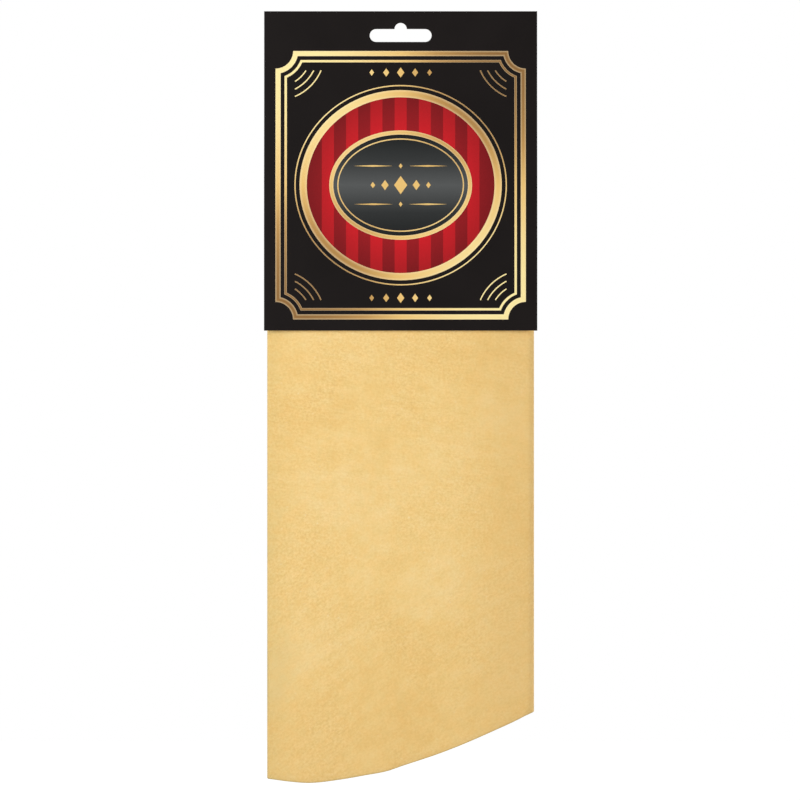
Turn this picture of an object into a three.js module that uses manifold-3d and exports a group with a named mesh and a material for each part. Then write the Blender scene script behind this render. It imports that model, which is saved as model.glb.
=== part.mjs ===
// A chamois leather in its hanging pack. One soft hide is folded in half three times into eight
// plies, and its top is tucked between the panels of a creased header card, which hangs by a slot.
// Millimetres, +Z up, the front of the pack faces -Y. The origin is the top of the hang slot.
import * as THREE from 'three';
import { mergeVertices } from 'three/addons/utils/BufferGeometryUtils.js';
import Module from 'manifold-3d';

// The hide, laid flat before folding
const hideReach = 273; // from the middle of the hide to its edge, across and along
const leatherThickness = 0.8;

// How the hide is folded
const plyGapAtFold = 0.4; // air between two plies at the top fold
const plyGapAtHem = 0.7; // air between two plies where the folded hide ends
const tuckDepth = 40; // how far the hide goes up into the header card

// The header card
const cardHeight = 163.5;
const cardThickness = 0.5;
const cardSideMargin = 1.6; // how far the card is wider than the folded hide, on each side
const creaseGap = 0.3; // the scored line between the crease and each panel
const bendStartBelowSlot = 6; // the panels lie flat together down to here
const bendEndAboveHide = 9; // and are parallel again from here down

// The hang slot, punched through both panels
const slotLength = 31.7;
const slotWidth = 6.6;
const humpRadius = 3.15; // the round notch in the slot's upper edge
const slotTopMargin = 6; // card above the notch

// The double-sided adhesive strips that hold the pack together
const stripThickness = 0.25;
const stripGap = 0.25; // between a strip and what it lies against
const holdingStripLength = 110;
const holdingStripHeight = 12;
const closingStripLength = 26;
const closingStripHeight = 10;
const closingStripFromEdge = 12;

// Mesh fineness, in counts
const frontColumns = 9;
const flankColumns = 12;
const outerWrapSteps = 8;
const innerWrapSteps = 6;
const spineFoldSteps = 6;
const topFoldSteps = 4;
const plyRows = 2;
const profileSteps = 10;
const arcSteps = 12;

// The hide's outline. Each pair is the place across the hide, from the spine outwards, and the
// distance from the crosswise fold down to the cut edge, both as shares of hideReach.
const rightHalfShares = [
  [0, 0.982], [0.041, 0.9875], [0.081, 0.989], [0.133, 0.984], [0.185, 0.974], [0.251, 0.957],
  [0.316, 0.9365], [0.382, 0.9105], [0.447, 0.882], [0.5, 0.856], [0.586, 0.812], [0.678, 0.748],
  [0.769, 0.66], [0.842, 0.562], [0.897, 0.463], [0.934, 0.37], [0.96, 0.285], [0.978, 0.2],
];
const leftHalfShares = [
  [0, 0.982], [0.05, 0.972], [0.1, 0.964], [0.185, 0.951], [0.251, 0.936], [0.316, 0.917],
  [0.382, 0.893], [0.447, 0.866], [0.5, 0.842], [0.586, 0.797], [0.678, 0.73], [0.769, 0.64],
  [0.842, 0.542], [0.897, 0.442], [0.934, 0.35], [0.955, 0.26],
];
const neckShare = 0.985; // the neck end of the hide reaches a little less far than the tail end

// Sizes that follow
const foldedWidth = hideReach / 2;
const foldPitch = leatherThickness + plyGapAtFold;
const hemPitch = leatherThickness + plyGapAtHem;
const pliesPerSide = 4;
const lastPly = pliesPerSide - 0.5; // the outermost ply's middle, counted in pitches
const cardWidth = foldedWidth + 2 * cardSideMargin;
const cardTop = slotTopMargin;
const cardBottom = cardTop - cardHeight;
const hideTop = cardBottom + tuckDepth;
const topFoldCentre = hideTop - foldPitch / 2 - leatherThickness / 2;
const lowestShare = Math.max(...rightHalfShares.map(([, reachShare]) => reachShare));
const hemDepth = lowestShare * hideReach;
const packedGap = stripThickness + 2 * stripGap; // between the panels where they lie together
const creaseInnerRadius = packedGap / 2;
const creaseOuterRadius = creaseInnerRadius + cardThickness;
const creaseAxis = cardTop - creaseOuterRadius;
const panelTop = creaseAxis - creaseGap;
const slotTopEdge = -humpRadius;
const slotBottomEdge = slotTopEdge - slotWidth;
const bendStart = slotBottomEdge - bendStartBelowSlot;
const bendEnd = hideTop + bendEndAboveHide;
const hideHalfAtCard = lastPly * pitchAt(cardBottom) + leatherThickness / 2;
const pocketInner = hideHalfAtCard + stripThickness + 2 * stripGap;

// Ply spacing at a height: it opens evenly from the top fold down to the hem.
function pitchAt(height) {
  const down = (topFoldCentre - height) / hemDepth;
  return foldPitch + (hemPitch - foldPitch) * down;
}

function finish(colour, roughness) {
  return new THREE.MeshStandardMaterial({ color: colour, roughness, metalness: 0 });
}

const leatherFinish = finish('#eecb86', 0.9);
const cardFinish = finish('#221f20', 0.55);
const creaseFinish = finish('#2b2728', 0.6);
const adhesiveFinish = finish('#e9e4d4', 0.4);

const rightward = new THREE.Vector3(1, 0, 0);
const rearward = new THREE.Vector3(0, 1, 0);
const forward = new THREE.Vector3(0, -1, 0);
const upward = new THREE.Vector3(0, 0, 1);

const wasm = await Module();
wasm.setup();

function toSolid(geometry) {
  const bare = geometry.clone();
  bare.deleteAttribute('normal');
  bare.deleteAttribute('uv');
  const merged = mergeVertices(bare);
  return new wasm.Manifold(new wasm.Mesh({
    numProp: 3,
    vertProperties: merged.attributes.position.array,
    triVerts: new Uint32Array(merged.index.array),
  }));
}

function fromSolid(solid) {
  const mesh = solid.getMesh();
  const geometry = new THREE.BufferGeometry();
  geometry.setAttribute('position', new THREE.BufferAttribute(mesh.vertProperties, 3));
  geometry.setIndex(new THREE.BufferAttribute(mesh.triVerts, 1));
  return geometry;
}

function named(name, geometry, material) {
  const mesh = new THREE.Mesh(geometry, material);
  mesh.name = name;
  return mesh;
}

// An outline extruded by a length, half to each side. The three directions say where the
// outline's own x, y and depth point in the pack.
function extruded(outline, length, steps, directions) {
  const geometry = new THREE.ExtrudeGeometry(outline, {
    depth: length, bevelEnabled: false, curveSegments: steps,
  });
  geometry.translate(0, 0, -length / 2);
  return geometry.applyMatrix4(new THREE.Matrix4().makeBasis(...directions));
}

// A profile drawn as (y, z) and run across the card's width.
function runAcross(profile) {
  return extruded(profile, cardWidth, profileSteps, [rearward, upward, rightward]);
}

// The hang slot as a cutter through the card: a long round-ended slot with a round notch on top.
function slotCutter() {
  const endRadius = slotWidth / 2;
  const endCentre = slotLength / 2 - endRadius;
  const midHeight = slotTopEdge - endRadius;
  const outline = new THREE.Shape();
  outline.absarc(0, slotTopEdge, humpRadius, 0, Math.PI, false);
  outline.absarc(-endCentre, midHeight, endRadius, Math.PI / 2, 3 * Math.PI / 2, false);
  outline.absarc(endCentre, midHeight, endRadius, -Math.PI / 2, Math.PI / 2, false);
  outline.closePath();
  const throughBoth = 4 * creaseOuterRadius;
  return toSolid(extruded(outline, throughBoth, arcSteps, [rightward, upward, forward]));
}

// One panel of the card. It lies flat by the slot, bows out over the hide's top and runs straight
// down over the tucked plies. side is -1 for the front panel and 1 for the back one.
function cardPanel(side) {
  const flatInner = side * creaseInnerRadius;
  const flatOuter = side * creaseOuterRadius;
  const pocketIn = side * pocketInner;
  const pocketOut = side * (pocketInner + cardThickness);
  const easing = (bendStart - bendEnd) / 2;
  const profile = new THREE.Shape();
  profile.moveTo(flatInner, panelTop);
  profile.lineTo(flatInner, bendStart);
  profile.bezierCurveTo(
    flatInner, bendStart - easing, pocketIn, bendEnd + easing, pocketIn, bendEnd);
  profile.lineTo(pocketIn, cardBottom);
  profile.lineTo(pocketOut, cardBottom);
  profile.lineTo(pocketOut, bendEnd);
  profile.bezierCurveTo(
    pocketOut, bendEnd + easing, flatOuter, bendStart - easing, flatOuter, bendStart);
  profile.lineTo(flatOuter, panelTop);
  profile.closePath();
  return fromSolid(toSolid(runAcross(profile)).subtract(slotCutter()));
}

// The scored fold along the top of the card, bent round from one panel to the other.
function cardCrease() {
  const profile = new THREE.Shape();
  profile.absarc(0, creaseAxis, creaseOuterRadius, 0, Math.PI, false);
  profile.absarc(0, creaseAxis, creaseInnerRadius, Math.PI, 0, true);
  profile.closePath();
  return runAcross(profile);
}

function adhesiveStrip(name, length, height, x, y, z) {
  const strip = named(name, new THREE.BoxGeometry(length, stripThickness, height), adhesiveFinish);
  strip.position.set(x, y, z);
  return strip;
}

// Reads a table of pairs as a smooth curve, with a slope at each pair taken from its neighbours.
function readShares(pairShares, place) {
  let i = 0;
  while (i < pairShares.length - 2 && place > pairShares[i + 1][0]) i += 1;
  const slope = (k) => {
    const before = pairShares[Math.max(k - 1, 0)];
    const after = pairShares[Math.min(k + 1, pairShares.length - 1)];
    return (after[1] - before[1]) / (after[0] - before[0]);
  };
  const [fromPlace, fromReach] = pairShares[i];
  const [toPlace, toReach] = pairShares[i + 1];
  const step = toPlace - fromPlace;
  const u = Math.min(Math.max((place - fromPlace) / step, 0), 1);
  const hermite = (1 + 2 * u) * (1 - u) ** 2 * fromReach + u ** 2 * (3 - 2 * u) * toReach;
  return hermite + step * (u * (1 - u) ** 2 * slope(i) - u ** 2 * (1 - u) * slope(i + 1));
}

// How far a ply reaches down from the crosswise fold. across is the signed distance from the
// spine on the flat hide: positive on the half that shows in front.
function plyReach(across, isNeck) {
  const halfShares = across >= 0 ? rightHalfShares : leftHalfShares;
  const reach = hideReach * readShares(halfShares, Math.abs(across) / hideReach);
  return isNeck ? reach * neckShare : reach;
}

// Where the lengthwise folds turn, for a given ply pitch. Two plies run together as one strand,
// and the strands lie one, three, and again one and three pitches from the middle of the pack.
const spineFoldX = (pitch) => 1.5 * pitch + leatherThickness / 2 - foldedWidth / 2;
const wrapX = (pitch) => foldedWidth / 2 - lastPly * pitch - leatherThickness / 2;

function straightColumn(across, isOuterStrand, isRear, xAt) {
  const strand = isOuterStrand ? 3 : 1;
  const facing = isOuterStrand === isRear ? 1 : -1;
  const y = (isRear ? 1 : -1) * strand;
  return { across, at: (pitch) => ({ x: xAt(pitch), y: y * pitch, nx: 0, ny: facing }) };
}

function turnedColumn(across, centreX, centrePitches, strand, angle, facing) {
  const nx = Math.cos(angle);
  const ny = Math.sin(angle);
  return {
    across,
    at: (pitch) => ({
      x: centreX(pitch) + strand * pitch * nx,
      y: (centrePitches + strand * ny) * pitch,
      nx: facing * nx,
      ny: facing * ny,
    }),
  };
}

// The hide's strand from one flank to the other, as columns: rear outer run, outer wrap, front
// run, spine fold, second run, inner wrap, third run.
function hideColumns() {
  const runLength = wrapX(foldPitch) - spineFoldX(foldPitch);
  const halfSpine = foldPitch * Math.PI / 2;
  const toWrap = halfSpine + runLength;
  const columns = [];
  const flank = (halfShares, wrapLength) => {
    const endAcross = halfShares[halfShares.length - 1][0] * hideReach;
    return { start: toWrap + wrapLength, length: endAcross - toWrap - wrapLength };
  };
  const outer = flank(rightHalfShares, 3 * foldPitch * Math.PI);
  const inner = flank(leftHalfShares, foldPitch * Math.PI);
  const eased = (share) => Math.sin(share * Math.PI / 2); // closer columns where the edge is steep

  for (let i = flankColumns; i > 0; i -= 1) {
    const away = outer.length * eased(i / flankColumns);
    columns.push(straightColumn(outer.start + away, true, true, (pitch) => wrapX(pitch) - away));
  }
  for (let i = 0; i <= outerWrapSteps; i += 1) {
    const turn = i / outerWrapSteps;
    const across = outer.start + (toWrap - outer.start) * turn;
    columns.push(turnedColumn(across, wrapX, 0, 3, Math.PI * (0.5 - turn), 1));
  }
  for (let i = 1; i < frontColumns; i += 1) {
    const along = i / frontColumns;
    const xAt = (pitch) => THREE.MathUtils.lerp(wrapX(pitch), spineFoldX(pitch), along);
    columns.push(straightColumn(toWrap - runLength * along, true, false, xAt));
  }
  for (let i = 0; i <= spineFoldSteps; i += 1) {
    const turn = i / spineFoldSteps;
    const across = halfSpine * (1 - 2 * turn);
    columns.push(turnedColumn(across, spineFoldX, -2, 1, -Math.PI * (0.5 + turn), 1));
  }
  for (let i = 1; i < frontColumns; i += 1) {
    const along = i / frontColumns;
    const xAt = (pitch) => THREE.MathUtils.lerp(spineFoldX(pitch), wrapX(pitch), along);
    columns.push(straightColumn(-halfSpine - runLength * along, false, false, xAt));
  }
  for (let i = 0; i <= innerWrapSteps; i += 1) {
    const turn = i / innerWrapSteps;
    const across = -toWrap - (inner.start - toWrap) * turn;
    columns.push(turnedColumn(across, wrapX, 0, 1, Math.PI * (turn - 0.5), -1));
  }
  for (let i = 1; i <= flankColumns; i += 1) {
    const away = inner.length * eased(i / flankColumns);
    columns.push(straightColumn(-inner.start - away, false, true, (pitch) => wrapX(pitch) - away));
  }
  return columns;
}

// The ply's course up from the tail end's cut edge, over the crosswise fold and down to the neck
// end's cut edge, as pairs of depth share and turn round the fold.
function hideRows() {
  const rows = [];
  for (let i = plyRows; i > 0; i -= 1) rows.push({ depthShare: i / plyRows, turn: 0 });
  for (let i = 0; i <= topFoldSteps; i += 1) rows.push({ depthShare: 0, turn: i / topFoldSteps });
  for (let i = 1; i <= plyRows; i += 1) rows.push({ depthShare: i / plyRows, turn: 1 });
  return rows;
}

// One point of the hide's surface. skin is 1 on the outer face of the fold and -1 on the inner.
function hidePoint(column, row, skin) {
  const angle = row.turn * Math.PI;
  const reach = plyReach(column.across, row.turn > 0.5);
  const middle = topFoldCentre - row.depthShare * reach + foldPitch / 2 * Math.sin(angle);
  const height = middle + skin * leatherThickness / 2 * Math.sin(angle);
  const pitch = pitchAt(height);
  const offset = (pitch / 2 + skin * leatherThickness / 2) * Math.cos(angle);
  const { x, y, nx, ny } = column.at(pitch);
  return [x + offset * nx, y + offset * ny, height];
}

// The whole folded hide as one closed sheet: two skins joined round their cut edge.
function foldedHide() {
  const columns = hideColumns();
  const rows = hideRows();
  const positions = [];
  for (const skin of [1, -1]) {
    for (const column of columns) {
      for (const row of rows) positions.push(...hidePoint(column, row, skin));
    }
  }
  const outside = (c, r) => c * rows.length + r;
  const inside = (c, r) => outside(c, r) + columns.length * rows.length;
  const index = [];
  const quad = (a, b, c, d) => index.push(a, b, c, a, c, d);
  const rim = (c, r, nextC, nextR) => {
    quad(outside(c, r), outside(nextC, nextR), inside(nextC, nextR), inside(c, r));
  };
  const lastColumn = columns.length - 1;
  const lastRow = rows.length - 1;
  for (let c = 0; c < lastColumn; c += 1) {
    for (let r = 0; r < lastRow; r += 1) {
      quad(outside(c, r), outside(c, r + 1), outside(c + 1, r + 1), outside(c + 1, r));
      quad(inside(c, r), inside(c + 1, r), inside(c + 1, r + 1), inside(c, r + 1));
    }
    rim(c, 0, c + 1, 0);
    rim(c + 1, lastRow, c, lastRow);
  }
  for (let r = 0; r < lastRow; r += 1) {
    rim(0, r + 1, 0, r);
    rim(lastColumn, r, lastColumn, r + 1);
  }
  const geometry = new THREE.BufferGeometry();
  geometry.setAttribute('position', new THREE.Float32BufferAttribute(positions, 3));
  geometry.setIndex(index);
  return geometry;
}

const pack = new THREE.Group();

const header = new THREE.Group();
header.add(named('header_front_panel', cardPanel(-1), cardFinish));
header.add(named('header_back_panel', cardPanel(1), cardFinish));
header.add(named('header_crease', cardCrease(), creaseFinish));
pack.add(header);

const holdingStripY = pocketInner - stripGap - stripThickness / 2;
const holdingStripZ = (hideTop + cardBottom) / 2;
const closingStripX = cardWidth / 2 - closingStripFromEdge - closingStripLength / 2;
const closingStripZ = (slotTopEdge + slotBottomEdge) / 2;
const strips = new THREE.Group();
strips.add(adhesiveStrip('front_holding_strip', holdingStripLength, holdingStripHeight,
  0, -holdingStripY, holdingStripZ));
strips.add(adhesiveStrip('back_holding_strip', holdingStripLength, holdingStripHeight,
  0, holdingStripY, holdingStripZ));
strips.add(adhesiveStrip('left_closing_strip', closingStripLength, closingStripHeight,
  -closingStripX, 0, closingStripZ));
strips.add(adhesiveStrip('right_closing_strip', closingStripLength, closingStripHeight,
  closingStripX, 0, closingStripZ));
pack.add(strips);

pack.add(named('chamois_hide', foldedHide(), leatherFinish));

export default pack;
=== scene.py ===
import math

import bmesh
import bpy
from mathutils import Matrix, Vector


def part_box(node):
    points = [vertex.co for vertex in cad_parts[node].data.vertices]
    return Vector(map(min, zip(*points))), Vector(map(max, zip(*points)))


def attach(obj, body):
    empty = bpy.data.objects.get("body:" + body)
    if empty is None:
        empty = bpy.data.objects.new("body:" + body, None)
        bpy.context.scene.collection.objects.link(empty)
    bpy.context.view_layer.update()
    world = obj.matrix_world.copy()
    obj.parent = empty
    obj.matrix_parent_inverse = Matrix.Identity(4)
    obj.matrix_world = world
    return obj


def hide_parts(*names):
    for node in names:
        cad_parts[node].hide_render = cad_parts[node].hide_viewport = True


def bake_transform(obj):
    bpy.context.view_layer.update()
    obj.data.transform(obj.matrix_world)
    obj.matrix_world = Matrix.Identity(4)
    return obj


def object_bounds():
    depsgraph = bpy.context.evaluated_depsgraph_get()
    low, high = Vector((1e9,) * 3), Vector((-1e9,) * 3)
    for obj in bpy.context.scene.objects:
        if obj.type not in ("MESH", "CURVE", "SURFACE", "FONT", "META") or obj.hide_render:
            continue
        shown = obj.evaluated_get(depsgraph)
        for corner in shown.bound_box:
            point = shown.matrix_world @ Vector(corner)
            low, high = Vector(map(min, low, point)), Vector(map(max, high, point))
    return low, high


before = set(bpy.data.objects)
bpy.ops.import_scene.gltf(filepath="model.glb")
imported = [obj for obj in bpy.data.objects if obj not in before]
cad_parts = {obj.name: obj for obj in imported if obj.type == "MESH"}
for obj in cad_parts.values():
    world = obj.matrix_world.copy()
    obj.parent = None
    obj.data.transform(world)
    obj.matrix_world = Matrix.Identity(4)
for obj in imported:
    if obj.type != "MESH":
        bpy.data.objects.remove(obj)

mm = 0.001
cadBounds = [list(corner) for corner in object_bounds()]
print("stage 1: the CAD frame is loaded")


def boxInMm(node):
    return [[value / mm for value in corner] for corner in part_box(node)]


def fromHex(code):
    channels = [int(code[i:i + 2], 16) / 255 for i in (1, 3, 5)]
    return [c / 12.92 if c <= 0.04045 else ((c + 0.055) / 1.055) ** 2.4 for c in channels] + [1.0]


def clamped(value):
    return min(max(value, 0), 1)


# Links sources to a node's sockets by name. A node as a source stands for its first output.
def plug(tree, node, links):
    for name, source in links.items():
        isSocket = isinstance(source, bpy.types.NodeSocket)
        tree.links.new(source if isSocket else source.outputs[0], node.inputs[name])


# Adds a node. Values and links go to its sockets by name, stops to its ramp, the rest to itself.
def addNode(tree, kind, values=None, links=None, stops=None, **settings):
    node = tree.nodes.new("ShaderNode" + kind)
    for name, value in settings.items():
        setattr(node, name, value)
    for name, value in (values or {}).items():
        node.inputs[name].default_value = value
    plug(tree, node, links or {})
    if stops:
        ramp = node.color_ramp.elements
        for place, code in stops[1:-1]:
            ramp.new(place).color = fromHex(code)
        for element, (place, code) in ((ramp[0], stops[0]), (ramp[-1], stops[-1])):
            element.position = place
            element.color = fromHex(code)
    return node


# Lays tones over a colour. Each layer is the level that it goes by, where it starts, where it is
# full, how strong it is there, and its tone.
def layTones(tree, colour, layers, fade="LINEAR"):
    for level, start, full, strength, tone in layers:
        span = {"From Min": start, "From Max": full, "To Max": strength}
        amount = addNode(tree, "MapRange", span, {"Value": level}, interpolation_type=fade)
        colour = addNode(tree, "MixRGB", {"Color2": fromHex(tone)},
                         {"Fac": amount, "Color1": colour})
    return colour


# How far a level is from a place, to either side.
def awayFrom(tree, level, place):
    offset = addNode(tree, "Math", {1: place}, {0: level}, operation="SUBTRACT")
    return addNode(tree, "Math", None, {0: offset}, operation="ABSOLUTE")


def startMaterial(name, sockets):
    material = bpy.data.materials.new(name)
    material.use_nodes = True
    shader = material.node_tree.nodes["Principled BSDF"]
    for socket, value in sockets.items():
        shader.inputs[socket].default_value = value
    return material, material.node_tree, shader


# A plain finish: one noise gives both its tone and its relief.
def plainFinish(tree, shader, place, noise, stops, relief):
    level = addNode(tree, "TexNoise", noise, {"Vector": place})
    plug(tree, shader, {
        "Base Color": addNode(tree, "ValToRGB", None, {"Fac": level}, stops=stops),
        "Normal": addNode(tree, "Bump", relief, {"Height": level}),
    })


def addObject(name, data):
    thing = bpy.data.objects.new(name, data)
    bpy.context.scene.collection.objects.link(thing)
    return thing


def addMap(piece, name, places):
    layer = piece.data.uv_layers.new(name=name)
    for loop in piece.data.loops:
        layer.data[loop.index].uv = places[loop.vertex_index]


def meshObject(name, vertices, faces, materials, slots=None):
    mesh = bpy.data.meshes.new(name)
    mesh.from_pydata([[value * mm for value in point] for point in vertices], [], faces)
    for material in materials:
        mesh.materials.append(material)
    for i, polygon in enumerate(mesh.polygons):
        polygon.use_smooth = True
        polygon.material_index = slots[i] if slots else 0
    return addObject(name, mesh)


# The camera stands square to the card's front, far off on a long lens.
photo = {
    "pixels": 800,
    "mmPerPixel": 0.5111,  # the card's 139.7 mm over its 273.35 pixels
    "cardCentrePixel": 400.65,
    "cardTopPixel": 10.7,
    "lens": 400.0,
    "sensor": 36.0,
    "clipEnd": 50.0,  # metres
}


def makeCamera():
    cardFront = boxInMm("header_front_panel")[0][1]
    cardTop = boxInMm("header_crease")[1][2]
    shown = photo["pixels"] * photo["mmPerPixel"]
    data = bpy.data.cameras.new("camera")
    data.lens = photo["lens"]
    data.sensor_width = photo["sensor"]
    data.clip_end = photo["clipEnd"]
    camera = addObject("camera", data)
    middle = photo["pixels"] / 2
    x = (middle - photo["cardCentrePixel"]) * photo["mmPerPixel"]
    z = cardTop - (middle - photo["cardTopPixel"]) * photo["mmPerPixel"]
    away = shown * photo["lens"] / photo["sensor"]
    camera.location = Vector((x, cardFront - away, z)) * mm
    camera.rotation_euler = (math.radians(90), 0, 0)
    bpy.context.scene.camera = camera


makeCamera()
print("stage 2: the camera stands at the photo's angle")


# Oil-tanned chamois, split and buffed on both sides: no shine, a short soft nap, faint cloudy
# patches where the fish oil took unevenly, and fibre marks that turn with the skin. Painted shade
# makes the folds, the cut edges and the skin's outer part a bit darker.
suede = {
    "shade": "#e9bf73",
    "body": "#f1cd85",
    "light": "#f7d99a",
    "napShade": "#e5bc70",
    "napLight": "#fadb9c",
    "fibre": "#cc9b60",
    "fleck": "#fbeac4",
    "warm": "#fffdfb",
    "cool": "#fcfeff",
    "rubbed": "#d9b06c",
    "handled": "#c8b06c",
    "soiled": "#a29660",
    # each ramp: the levels of its noise, and the tone at each
    "cloudTones": ((0.32, "shade"), (0.5, "body"), (0.68, "light")),
    "napTones": ((0.3, "napShade"), (0.5, "body"), (0.7, "napLight")),
    "tintTones": ((0.32, "warm"), (0.68, "cool")),
    # each noise: where it lies, mm across (fibres and bands: in bundles), detail, roughness and
    # distortion
    "noises": {
        "patches": ("patch", 62.0, 3.0, 0.55, 0.3),
        "mottle": ("skin", 9.0, 4.0, 0.6, 0.0),
        "tint": ("skin", 5.5, 3.0, 0.6, 0.0),
        "pressed": ("pressed", 48.0, 4.0, 0.62, 0.0),  # where the nap lies flat
        "nap": ("skin", 1.3, 2.0, 0.7, 0.0),  # real nap is nearer 0.2 mm, drawn coarser to show
        "fuzz": ("skin", 0.28, 2.0, 0.7, 0.0),  # the real nap's own size, for close views
        "upperFibres": ("upper", 1.0, 2.0, 0.6, 0.0),
        "lowerFibres": ("lower", 1.0, 2.0, 0.6, 0.0),
        "upperBands": ("upper", 5.0, 1.0, 0.6, 0.0),
        "lowerBands": ("lower", 5.0, 1.0, 0.6, 0.0),
    },
    "patchShift": (-786.5, -458.5, 0.0),  # where on the clouding the skin is cut
    "patchEnds": (0.35, 0.65),  # levels of the darkest and the lightest patches
    "mottleShare": 0.34,
    "napShare": (0.66, 0.5),  # in those patches: the darker ones are also the rougher ones
    "pressedShift": (-520.5, 463.5, 0.0),
    "pressing": (0.37, 0.63, 0.5),  # where flat nap starts, where it is full, its share there
    "fibreSize": (3.2, 0.9, 1.0),  # mm of one bundle: real fibres are far finer and would not show
    "upperLean": 0.2,  # radians: the fibres run down to the right near the skin's middle
    "lowerLean": -0.62,  # and up to the right nearer its rim
    "leanChange": (105.0, 175.0),  # mm from the crosswise fold
    "fleckSpacing": 17.0,
    # each overlay: what it goes by, the level where it starts, where it is full, how strong it is
    # there, and its tone
    "overlays": (
        ("Fibres", 0.5, 0.85, 0.3, "fibre"),
        ("Fibres", 0.5, 0.15, 0.33, "napLight"),
        ("Bands", 0.5, 0.85, 0.38, "shade"),
        ("Bands", 0.5, 0.15, 0.38, "light"),
        ("fuzz", 0.5, 0.8, 0.2, "fibre"),
        ("fuzz", 0.5, 0.2, 0.2, "napLight"),
        ("flecks", 0.035, 0.01, 0.3, "fleck"),
    ),
    # painted shade along a fold: how far it spreads from the fold, how strong it is there, the
    # tone, and how patchy it is
    "spineRub": (26.0, 0.3, "handled", 0.4),
    "sideRub": (62.0, 0.35, "rubbed", 0.1),
    # painted shade in the spine and side creases, where the plies turn away from the light
    "spineCrease": (1.6, 0.62, "soiled", 0.3),
    "sideCrease": (2.6, 0.14, "soiled", 0.3),
    "foldPatches": (0.64, 0.44),  # levels of the clouding where a fold has most and least tone
    # where a tone starts, where it is full, how strong it is there, and the tone
    "rimTone": (180.0, 275.0, 0.22, "rubbed"),  # painted shade: the skin's outer part, low on the pack, is a little darker
    # painted shade: a thin darker line along the cut edges
    "edgeLine": (0.9 * mm, 0.0, 0.5, "soiled"),
    "napRelief": {"Strength": 0.14, "Distance": 0.1 * mm},
    "fuzzRelief": {"Strength": 0.25, "Distance": 0.05 * mm},
    "cutNoise": {"Scale": 1 / (0.5 * mm), "Detail": 2.0},  # coarser than real fibre ends
    "cutTones": ((0.3, "#bfa676"), (0.7, "#dcc594")),
    "cutRelief": {"Strength": 0.5, "Distance": 0.1 * mm},
}


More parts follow.
